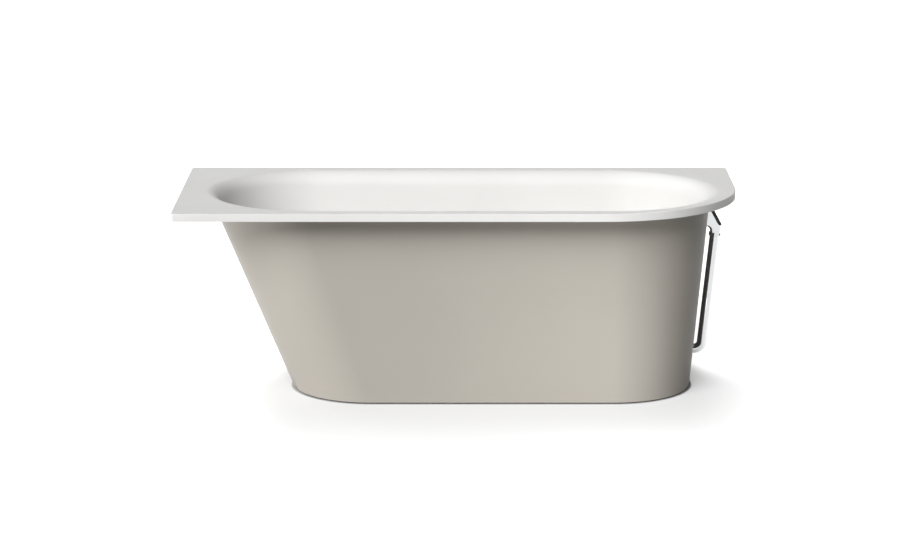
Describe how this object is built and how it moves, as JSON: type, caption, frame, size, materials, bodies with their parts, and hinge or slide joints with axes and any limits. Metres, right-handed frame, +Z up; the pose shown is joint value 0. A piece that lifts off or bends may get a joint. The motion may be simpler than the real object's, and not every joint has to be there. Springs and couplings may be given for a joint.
{
  "type": "built-in corner bathtub",
  "caption": "Corner bath with rolled oval basin, flat rim rounded at one corner, tapered apron skirt, chrome side rail, push waste and levelling feet.",
  "frame": {"origin": "centre of the rim's footprint, on the floor that the feet stand on", "axes": "+X along the bath to its rounded right end, +Y to the back wall, +Z up"},
  "size_m": [1.7, 0.75, 0.6],
  "materials": {
    "white_acrylic": "gloss white sanitary acrylic",
    "greige_satin": "satin greige lacquer",
    "adhesive": "cured adhesive pads",
    "chipboard": "raw chipboard",
    "zinc_steel": "zinc plated",
    "chrome": "polished chrome",
    "brass": "machined brass",
    "black_rubber": "moulded rubber",
    "black_plastic": "moulded plastic",
    "grey_plastic": "moulded plastic",
    "pipe_plastic": "moulded plastic pipe",
    "blackened_steel": "blackened set screw"
  },
  "bodies": {
    "bath": {"tub_shell": "white_acrylic", "apron_panel": "greige_satin", "apron_pads": "adhesive", "base_board": "chipboard", "leg_bar_left": "zinc_steel", "leg_bar_right": "zinc_steel", "bar_screws": "zinc_steel", "lock_nuts": "zinc_steel", "floor_brackets": "zinc_steel", "bracket_screws": "zinc_steel", "waste_flange": "chrome", "waste_gasket": "black_rubber", "waste_body": "grey_plastic", "plug_latch": "brass", "trap_nut": "grey_plastic", "trap_body": "grey_plastic", "overflow_cover": "chrome", "overflow_ring": "chrome", "overflow_gasket": "black_rubber", "overflow_body": "grey_plastic", "overflow_pipe": "pipe_plastic", "pipe_nuts": "grey_plastic", "rail_tube": "chrome", "rail_top_bracket": "chrome", "rail_grub_screw": "blackened_steel", "rail_backing_plate": "zinc_steel", "rail_bolts": "zinc_steel", "rail_end_plug": "zinc_steel", "rail_end_washer": "zinc_steel", "rail_end_bolt": "zinc_steel"},
    "plug": {"plug_cap": "chrome", "plug_seal": "black_rubber", "plug_stem": "brass"},
    "foot_left_front": {"foot_pad_left_front": "black_plastic"},
    "spindle_left_front": {"foot_spindle_left_front": "zinc_steel"},
    "foot_left_back": {"foot_pad_left_back": "black_plastic"},
    "spindle_left_back": {"foot_spindle_left_back": "zinc_steel"},
    "foot_right_front": {"foot_pad_right_front": "black_plastic"},
    "spindle_right_front": {"foot_spindle_right_front": "zinc_steel"},
    "foot_right_back": {"foot_pad_right_back": "black_plastic"},
    "spindle_right_back": {"foot_spindle_right_back": "zinc_steel"}
  },
  "joints": [
    {"name": "plug_push", "type": "slide", "parent": "bath", "child": "plug", "axis": [0, 0, 1], "range_m": [-0.009, 0]},
    {"name": "foot_level_left_front", "type": "slide", "parent": "bath", "child": "foot_left_front", "axis": [0, 0, 1], "range_m": [-0.03, 0.005]},
    {"name": "spindle_turn_left_front", "type": "hinge", "parent": "foot_left_front", "child": "spindle_left_front", "pos_m": [-0.37443, -0.20041, 0.02], "axis": [0, 0, 1], "range_deg": [-6180, 1035]},
    {"name": "foot_level_left_back", "type": "slide", "parent": "bath", "child": "foot_left_back", "axis": [0, 0, 1], "range_m": [-0.03, 0.005]},
    {"name": "spindle_turn_left_back", "type": "hinge", "parent": "foot_left_back", "child": "spindle_left_back", "pos_m": [-0.37443, 0.195, 0.02], "axis": [0, 0, 1], "range_deg": [-6180, 1035]},
    {"name": "foot_level_right_front", "type": "slide", "parent": "bath", "child": "foot_right_front", "axis": [0, 0, 1], "range_m": [-0.03, 0.005]},
    {"name": "spindle_turn_right_front", "type": "hinge", "parent": "foot_right_front", "child": "spindle_right_front", "pos_m": [0.5114, -0.20041, 0.02], "axis": [0, 0, 1], "range_deg": [-6180, 1035]},
    {"name": "foot_level_right_back", "type": "slide", "parent": "bath", "child": "foot_right_back", "axis": [0, 0, 1], "range_m": [-0.03, 0.005]},
    {"name": "spindle_turn_right_back", "type": "hinge", "parent": "foot_right_back", "child": "spindle_right_back", "pos_m": [0.5114, 0.195, 0.02], "axis": [0, 0, 1], "range_deg": [-6180, 1035]}
  ],
  "couplings": [
    {"joint": "spindle_turn_left_front", "follows": "foot_level_left_front", "rad_per_m": 3590.4},
    {"joint": "spindle_turn_left_back", "follows": "foot_level_left_back", "rad_per_m": 3590.4},
    {"joint": "spindle_turn_right_front", "follows": "foot_level_right_front", "rad_per_m": 3590.4},
    {"joint": "spindle_turn_right_back", "follows": "foot_level_right_back", "rad_per_m": 3590.4}
  ]
}
